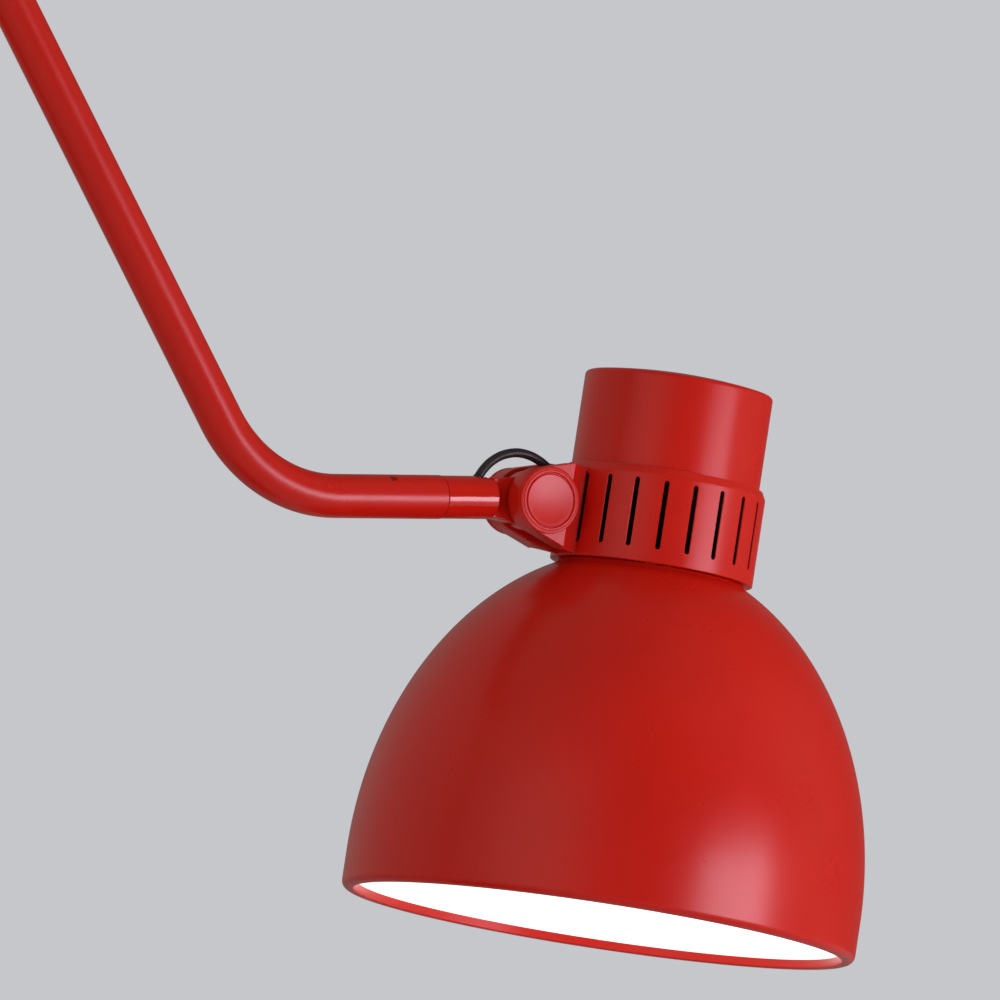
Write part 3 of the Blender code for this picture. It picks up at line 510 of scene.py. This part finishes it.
def stand_for(piece, node, *others):
    """Shade the piece, give it the node's finish, and let it ride and show in the node's place."""
    mesh = piece.data
    mesh.materials.clear()
    mesh.materials.append(look_of(node))
    mesh.shade_smooth()
    mesh.set_sharp_from_angle(angle=SHARP)
    even = piece.modifiers.new("even_normals", "WEIGHTED_NORMAL")
    even.keep_sharp = True
    if "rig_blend" not in piece:
        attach(piece, NODES[node]["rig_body"])
    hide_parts(node, *others)
    return piece


# --- cable -------------------------------------------------------------------------------------------
CABLE_R = 2.1
CABLE_STEP = 0.8                 # length of one straight step along a cable
# From the wrist's top to the collar's wall, in mm from the head pivot, as the CAD model routes it.
LOOP_ROUTE = [(-26.8, 0, 11.1), (-24.3, 0, 14.2), (-20.4, 0, 17.6), (-14.6, 0, 20.5), (-7.4, 0, 21.7),
              (-0.6, 0, 20.6), (5.2, 0, 17.9), (10.4, 0, 14.0), (15.2, 0, 9.6), (19.6, 0, 6.2),
              (22.0, 0, 4.9)]
WRIST_ROUTE = [(-52, 0, 1.2), (-43, 0, 1.3), (-38.4, 0, 2.3), (-34.2, 0, 4.5), (-30.4, 0, 7.6),
               (-27.0, 0, 10.8)]
HEAD_ROUTE = [(-44.2, 0, 5.0), (-40, 0, 6.6), (-35.4, 0, 9.3), (-31.0, 0, 12.3)]


def cable_tube(name, path, at):
    bm = bmesh.new()
    loops = cross_sections(bm, path, [CABLE_R] * len(path), 32)
    skin(bm, loops, closed=False)
    return solid(name, bm, at)


def make_cables():
    at = frame_at(PIVOT, Z)
    path = smooth_path(LOOP_ROUTE, CABLE_STEP)
    loop = cable_tube("lamp_cable_loop", path, at)
    points = [at @ p for p in path]
    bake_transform(loop, "wrist", "head", start=points[0], end=points[-1])
    stand_for(loop, "cable_loop")
    stand_for(cable_tube("lamp_cable_wrist", smooth_path(WRIST_ROUTE, CABLE_STEP), at), "cable_wrist")
    stand_for(cable_tube("lamp_cable_head", smooth_path(HEAD_ROUTE, CABLE_STEP), LAMP), "cable_head")


# --- head --------------------------------------------------------------------------------------------
COLLAR_R = 46.6
COLLAR_IN = 44.9
COLLAR_TOP = 18.5
COLLAR_SHOULDER = 15.1           # where the top chamfer starts
COLLAR_BOTTOM = -25.2
SLOT_COUNT = 21
SLOT_PITCH = math.radians(16.9)
SLOT_HALF = 1.1
SLOT_TOP = 12.7
SLOT_BOTTOM = -18.8
EAR_R = 15.2
EAR_IN = 5.8
EAR_OUT = 16.0
EAR_END = 11.5                   # where the thick ear starts to thin down to the collar
EAR_LEAN = 17.0


def dome(radius, height, centre, start_r, steps):
    """Half an ellipse, from a radius near its top to its full radius."""
    begin = math.asin(start_r / radius)
    angles = [begin + (math.pi / 2 - begin) * i / steps for i in range(steps + 1)]
    return [(radius * math.sin(a), centre + height * math.cos(a)) for a in angles]


def make_shade():
    """A half-ellipse dome with a flat top under the collar and a rim that turns inwards."""
    wall, neck = 1.2, COLLAR_BOTTOM - 0.3
    radius, height, full = 118.1, 154.0, -170.2
    outer = dome(radius, height, full, 43.6, 72)
    inner = dome(radius - wall, height - wall, full, 43.6, 48)
    lip_r, low, ledge = 112.1, -188.8, -183.6
    lip = [(radius, low, 3.6), (lip_r + 0.4, low + 0.5, 0.7), (lip_r, ledge, 0.2),
           (radius - wall, ledge + 0.4)]
    outline = ([(30.0, neck), (42.4, neck)] + outer + lip + inner[::-1]
               + [(42.0, neck - wall), (30.0, neck - wall)])
    shade = turned("spun_shade", outline, LAMP, FINE)
    stand_for(shade, "shade")


def slot_cutter(angle):
    """A bar with round ends, narrowest just inside the collar's face, for a broken edge and a taper."""
    depths = [(COLLAR_R - 8, 1.3), (COLLAR_R - 1.9, 1.3), (COLLAR_R - 0.55, 0), (COLLAR_R - 0.3, 0),
              (COLLAR_R + 0.8, 0.85)]
    centres = (SLOT_TOP - SLOT_HALF, SLOT_BOTTOM + SLOT_HALF)
    bm = bmesh.new()
    loops = []
    for depth, flare in depths:
        half = SLOT_HALF + flare
        outline = arc((0, centres[0]), half, 0, 180, 12) + arc((0, centres[1]), half, 180, 360, 12)
        loops.append([bm.verts.new((depth, y, z)) for y, z in outline])
    skin(bm, loops, closed=False)
    bmesh.ops.rotate(bm, matrix=Matrix.Rotation(angle, 3, "Z"), verts=bm.verts)
    return bm


def make_slot_cutters():
    joined = bmesh.new()
    for i in range(SLOT_COUNT):
        bar = slot_cutter((i - (SLOT_COUNT - 1) / 2) * SLOT_PITCH)
        mesh = bpy.data.meshes.new("bar")
        bar.to_mesh(mesh)
        bar.free()
        joined.from_mesh(mesh)
        bpy.data.meshes.remove(mesh)
    return solid("slot_cutters", joined, LAMP)


def make_ear(side):
    """One thick ear round the pivot, widening to the collar's height and thinning into its wall."""
    slope = math.tan(math.radians(EAR_LEAN))
    reach = 23.6
    round_end = arc((0, 0), EAR_R, 90 + EAR_LEAN, 270 - EAR_LEAN, 48)
    top = round_end[0][1] + (EAR_END - round_end[0][0]) * slope
    outline = round_end + [(EAR_END, -top), (reach, HEAD_RISE + COLLAR_BOTTOM + 0.4),
                           (reach, HEAD_RISE + COLLAR_SHOULDER), (EAR_END, top)]
    across = frame_at(PIVOT, Y, LAMP_AHEAD)
    low, high = sorted((side * EAR_IN, side * EAR_OUT))
    blade = prism(f"ear_{side}", [(x, -z) for x, z in outline], low, high, across, edge=0.45)
    hollow = arc((EAR_END + 11.0, side * (EAR_OUT + 8.8)), 16.0, side * -133, side * -88, 24)
    relief = hollow + [(40, side * 9.0), (40, side * 40), (EAR_END - 0.1, side * 40)]
    return carve(blade, cuts=[prism("relief", relief, -40, 40, PIVOT_FRAME)])


def make_collar():
    """The slotted collar with its two ears, bored for the pivot and for the cable."""
    floor = COLLAR_BOTTOM + 2.4
    outline = [(43.6, COLLAR_TOP, 0.2), (43.6, 17.4), (COLLAR_IN, 16.6), (COLLAR_IN, floor),
               (32.0, floor), (32.0, COLLAR_BOTTOM), (COLLAR_R, COLLAR_BOTTOM, 0.45),
               (COLLAR_R, COLLAR_SHOULDER, 2.5), (COLLAR_IN, COLLAR_TOP, 0.25)]
    collar = turned("slotted_collar", outline, LAMP, FINE)
    across = frame_at(PIVOT, Y, LAMP_AHEAD)
    step = 10.5
    hole = [(0, -30), (8.6, -30), (8.6, -step), (3.3, -step), (3.3, step), (8.6, step), (8.6, 30), (0, 30)]
    ahead = frame_at(PIVOT + LAMP_UP * 9.0 * MM, LAMP_AHEAD, LAMP_UP)
    carve(collar, unions=[make_ear(-1), make_ear(1)],
          cuts=[make_slot_cutters(), turned("pivot_hole", hole, across, SMALL),
                rod("cable_hole", 2.7, 14, 30, ahead)])
    stand_for(collar, "head_collar")


def make_pivot_caps():
    """A pressed cap on each ear: a raised ring, a groove inside it and a shallow dish."""
    low = EAR_OUT + 0.3
    face = low + 2.4
    outline = [(0, low), (15.3, low, 0.2), (15.3, face - 0.5, 0.5), (14.2, face - 0.25, 0.3),
               (13.9, face - 0.45, 0.2), (13.6, face, 0.35), (12.9, face, 0.3), (12.5, face - 0.9, 0.2),
               (12.1, face - 0.9, 0.2), (11.7, face - 0.12, 0.35)]
    dish = [(11.2 * (1 - i / 8), face - 0.15 - 0.75 * (1 - (1 - i / 8) ** 2)) for i in range(9)]
    for node, side in (("pivot_cap_near", -1), ("pivot_cap_far", 1)):
        across = frame_at(PIVOT, Y * side, LAMP_AHEAD)
        stand_for(turned(node + "_pressed", outline + dish, across, MEDIUM), node)


def make_rear_cap():
    """A deep cup with a crowned top, whose flange sits inside the collar's mouth."""
    radius, wall, crown, flange = 43.2, 1.4, 66.0, COLLAR_IN - 0.4
    fall = 4.0

    def top(r, down=0.0):
        return (r, crown - down - fall * (r / radius) ** 2)

    steps = 12
    over = [top(radius * i / steps) for i in range(steps)]
    under = [top((radius - wall) * i / steps, wall) for i in range(steps - 1, -1, -1)]
    outline = (over + [(*top(radius), 1.9), (radius, 16.2), (flange, 16.2, 0.2), (flange, 14.6, 0.2),
                       (radius - wall, 14.6)] + [(*top(radius - wall, wall), 1.0)] + under)
    stand_for(turned("crowned_rear_cap", outline, LAMP, FINE), "rear_cap")


def make_diffuser():
    outline = [(0, -184.4), (111.6, -184.4, 0.5), (111.6, -182.0, 0.3), (0, -182.0)]
    stand_for(turned("opal_diffuser", outline, LAMP, FINE), "diffuser")


# --- arm and wrist -----------------------------------------------------------------------------------
TUBE_R = 10.0
TUBE_WALL = 1.5
BEND_R = 68.0
CORNER_BACK = 141.8              # the bend's corner, behind the head pivot
SEAM = -47.6                     # end of the arm tube, from the head pivot
SLEEVE_END = -21.5
SCREW_AT = -75.0
SCREW_LEAN = math.radians(35.0)
LIFT = (WRIST.z - PIVOT.z) / MM  # the arm tube's axis, above the head pivot


def arm_path():
    """Points on the tube's axis, in mm from the head pivot: straight run, bend and level run."""
    corner = Vector((-CORNER_BACK, 0, LIFT))
    elbow = (ELBOW - PIVOT) / MM
    down = (corner - elbow).normalized()
    slope = down.angle(X)
    tangent = BEND_R * math.tan(slope / 2)
    centre = corner + Vector((tangent, 0, BEND_R))
    neck = 30.3
    path = [elbow + down * neck, elbow + down * (neck + 0.3), elbow + down * 60, elbow + down * 120]
    steps = 40
    for i in range(steps + 1):
        angle = slope * (1 - i / steps)
        path.append(centre - Vector((math.sin(angle), 0, math.cos(angle))) * BEND_R)
    end = SEAM - 0.3
    return path + [Vector((-70, 0, LIFT)), Vector((end - 0.3, 0, LIFT)), Vector((end, 0, LIFT))]


def make_arm_tube():
    """The bent tube, hollow and softened at both ends, with the screw that holds the wrist in it."""
    path = arm_path()
    bm = bmesh.new()
    radii = [TUBE_R - 0.25] + [TUBE_R] * (len(path) - 2) + [TUBE_R - 0.25]
    outer = cross_sections(bm, path, radii, MEDIUM)
    inner = cross_sections(bm, path, [TUBE_R - TUBE_WALL] * len(path), MEDIUM)
    skin(bm, outer + inner[::-1], closed=True)
    tube = solid("bent_arm_tube", bm, frame_at(PIVOT, Z))
    lean = Vector((0, -math.sin(SCREW_LEAN), math.cos(SCREW_LEAN)))
    screw = frame_at(PIVOT + Vector((SCREW_AT, 0, LIFT)) * MM, lean)
    carve(tube, cuts=[rod("screw_hole", 1.9, 4, 14, screw)])
    stand_for(tube, "arm_tube")
    make_set_screw("wrist_grub_screw", 1.5, 5.7, 9.1, screw, "wrist_screw")


def make_set_screw(name, radius, low, high, at, node):
    """A headless screw with a socket in its outer end."""
    socket, floor = radius * 0.55, high - radius
    outline = [(0, low), (radius - 0.4, low), (radius, low + 0.5), (radius, high, 0.25), (socket, high, 0.1),
               (socket, floor), (0, floor)]
    stand_for(turned(name, outline, at, 36), node)


def make_wrist_fitting():
    """The sleeve that carries on the arm tube, and the tongue between the collar's ears."""
    along = frame_at(WRIST, X, Z)
    outline = [(0, SEAM), (9.8, SEAM, 0.3), (9.8, SLEEVE_END, 0.4), (0, SLEEVE_END)]
    fitting = turned("wrist_sleeve", outline, along, MEDIUM)
    half, back = 8.4, SLEEVE_END - 4.0
    tongue = [(back, -half + LIFT)] + arc((0, 0), 14.0, -130, 130, 64) + [(back, half + LIFT)]
    across = frame_at(PIVOT, Y)
    blade = prism("tongue", [(x, -z) for x, z in tongue], -4.5, 4.5, across, edge=0.5)
    way_out = frame_at(PIVOT + Vector((-33.2, 0, LIFT + 2.4)) * MM, (0.68, 0, 0.74), Y)
    exit_hole = [(0, -2), (3.1, -2), (3.1, 7.0), (4.6, 9.5), (4.6, 16), (0, 16)]
    carve(fitting, unions=[blade],
          cuts=[rod("tongue_bore", 5.3, -10, 10, across),
                rod("sleeve_bore", 6.3, SEAM - 1, SEAM + 16.6, along),
                turned("exit_hole", exit_hole, way_out, SMALL)])
    stand_for(fitting, "wrist_fitting")


# --- elbow -------------------------------------------------------------------------------------------
KNUCKLE_R = 15.2
KNUCKLE_HALF = 11.2
KNUCKLE_LEN = 26.0
KNUCKLE_BORE = 12.0


def make_knuckle(name, axis_at, outward, neck, node):
    """A cup round the elbow's axis with a neck that plugs into a tube, and its cap."""
    at = frame_at(axis_at - outward * KNUCKLE_HALF * MM, outward)
    end = KNUCKLE_LEN
    cup = [(KNUCKLE_BORE, 0, 0.3), (KNUCKLE_R, 0, 0.5), (KNUCKLE_R, end, 0.9), (12.4, end, 0.3),
           (12.4, 19.0), (3.4, 19.0), (3.4, 15.5), (KNUCKLE_BORE, 15.5)]
    knuckle = turned(name, cup, at, MEDIUM)
    down = frame_at(axis_at, neck, outward)
    stem = [(0, 13.0), (9.8, 13.0), (9.8, 30.0, 0.3), (8.2, 30.0), (8.2, 52.0, 0.5), (0, 52.0)]
    carve(knuckle, unions=[turned("neck", stem, down, SMALL)], cuts=[rod("bore", 4.6, 3.0, 53.0, down)])
    stand_for(knuckle, node)
    face = end - 0.4
    cap = [(0, face - 2.6), (12.1, face - 2.6, 0.2), (12.1, face, 0.5), (8.6, face, 0.4),
           (8.0, face - 0.6, 0.4), (0, face - 0.6)]
    stand_for(turned(name + "_cap", cap, at, MEDIUM), node + "_cap")


def make_elbow():
    """Two knuckles side by side, one on the post and one on the arm."""
    over_post = Vector((POST.x, POST.y, ELBOW.z))
    corner = PIVOT + Vector((-CORNER_BACK, 0, LIFT)) * MM
    make_knuckle("post_side_knuckle", over_post, Y, -Z, "post_knuckle")
    make_knuckle("arm_side_knuckle", ELBOW, -Y, corner - ELBOW, "arm_knuckle")


# --- base and post -----------------------------------------------------------------------------------
BASE_R = 120.0
BASE_H = 20.0
SOCKET_TOP = 62.0


def make_base_cover():
    """A spun disc with a rounded edge, open below, with holes for the post, the switch and the gland."""
    edge, wall = 5.5, 1.5
    outline = [(0, BASE_H), (BASE_R, BASE_H, edge), (BASE_R, 1.0, 0.5), (BASE_R - wall, 1.0, 0.5),
               (BASE_R - wall, BASE_H - wall, edge - wall), (0, BASE_H - wall)]
    cover = turned("spun_base_cover", outline, BASE_FRAME, FINE)
    switch = frame_at(middle("switch_bezel"), Z)
    gland = frame_at(middle("cable_gland"), X)
    carve(cover, cuts=[rod("post_hole", 7.0, 10, 30, POST_FRAME), rod("switch_hole", 8.6, -20, 20, switch),
                       rod("gland_hole", 4.3, -10, 10, gland)])
    stand_for(cover, "base_cover")


def make_base_pad():
    """A rubber foot pad with concentric grips under it."""
    grips = 9
    outline = [(0, 2.0), (113.0, 2.0, 0.3), (113.0, 0, 0.5)]
    for i in range(grips):
        middle_r = 108.0 - 8.0 * i
        outline += [(middle_r + 1.6, 0), (middle_r + 1.1, 0.5), (middle_r - 1.1, 0.5), (middle_r - 1.6, 0)]
    stand_for(turned("ribbed_foot_pad", outline + [(0, 0)], BASE_FRAME, FINE), "base_pad")


def make_socket():
    """The flanged socket that the post turns in, with its set screw and its bush."""
    low = BASE_H + 0.3
    outline = [(6.0, low), (27.0, low, 0.5), (27.0, low + 4.0, 0.9), (18.0, low + 4.4, 1.8),
               (16.0, low + 8.0, 2.0), (16.0, SOCKET_TOP, 1.0), (12.5, SOCKET_TOP), (12.5, 36.7), (10.3, 36.7),
               (10.3, 24.3), (6.0, 24.3)]
    socket = turned("turned_post_socket", outline, POST_FRAME, MEDIUM)
    screw = frame_at(POST + Z * middle("swivel_screw").z, -X)
    carve(socket, cuts=[rod("screw_hole", 1.9, 8, 30, screw)])
    stand_for(socket, "post_socket")
    make_set_screw("swivel_grub_screw", 1.6, 8.4, 15.6, screw, "swivel_screw")
    bush = [(10.3, 37.0), (12.2, 37.0), (12.2, SOCKET_TOP + 0.3), (15.0, SOCKET_TOP + 0.3, 0.2),
            (15.0, SOCKET_TOP + 1.8, 0.8), (10.3, SOCKET_TOP + 1.8, 0.3)]
    stand_for(turned("moulded_post_bush", bush, POST_FRAME, MEDIUM), "post_bush")


def make_post_tube():
    low, high = (corner.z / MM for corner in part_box("post_tube"))
    inner = TUBE_R - TUBE_WALL
    outline = [(inner, low), (TUBE_R, low, 0.25), (TUBE_R, high, 0.25), (inner, high)]
    stand_for(turned("straight_post_tube", outline, POST_FRAME, MEDIUM), "post_tube")


def make_switch():
    """The switch's ring and its dished push button."""
    place = middle("switch_bezel")
    at = frame_at((place.x, place.y, 0), Z)
    low = BASE_H + 0.3
    bezel = [(7.0, low), (11.4, low, 0.2), (11.4, low + 1.5, 0.5), (8.4, low + 1.5, 0.3),
             (7.0, low + 0.9, 0.2)]
    stand_for(turned("turned_switch_bezel", bezel, at, MEDIUM), "switch_bezel")
    top = BASE_H + 5.0
    dish = [(5.2 * (1 - i / 6), top - 0.7 * (1 - (1 - i / 6) ** 2)) for i in range(7)]
    button = [(0, 12.0), (6.6, 12.0), (6.6, top, 1.0)] + dish
    stand_for(turned("moulded_switch_button", button, at, MEDIUM), "switch_button")


def make_spring():
    """The button's coil spring, which shortens between the switch body and the button."""
    low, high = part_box("switch_spring")
    centre = middle("switch_spring")
    wire, turns, steps = 0.35, 3, 28
    coil_r = (high.x - low.x) / 2 / MM - wire
    bottom, top = low.z / MM + wire, high.z / MM - wire
    count = turns * steps
    path = [Vector((coil_r * math.cos(TURN * i / steps), coil_r * math.sin(TURN * i / steps),
                    bottom + (top - bottom) * i / count)) for i in range(count + 1)]
    bm = bmesh.new()
    skin(bm, cross_sections(bm, path, [wire] * len(path), 12), closed=False)
    spring = solid("coiled_switch_spring", bm, frame_at((centre.x, centre.y, 0), Z))
    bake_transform(spring, "base", "button", start=Vector((centre.x, centre.y, low.z)),
             end=Vector((centre.x, centre.y, high.z)))
    stand_for(spring, "switch_spring")


def make_gland():
    at = frame_at(BASE + Vector((-BASE_R, 0, 10.2)) * MM, X)
    outline = [(2.4, -2.4, 0.3), (5.2, -2.4, 0.9), (5.4, -0.3, 0.15), (4.0, -0.3), (4.0, 2.4), (5.4, 2.4),
               (5.4, 4.0, 0.5), (2.4, 4.0)]
    stand_for(turned("moulded_gland", outline, at, SMALL), "cable_gland")


def finish_cad_nodes():
    """The CAD nodes that still show get the procedural looks too."""
    for node, item in NODES.items():
        item.material_slots[0].material = look_of(node)


make_camera()
make_cables()
make_world()
make_lights()
make_floor()
make_shade()
make_collar()
make_pivot_caps()
make_rear_cap()
make_diffuser()
make_arm_tube()
make_wrist_fitting()
make_elbow()
make_base_cover()
make_base_pad()
make_socket()
make_post_tube()
make_switch()
make_spring()
make_gland()
finish_cad_nodes()
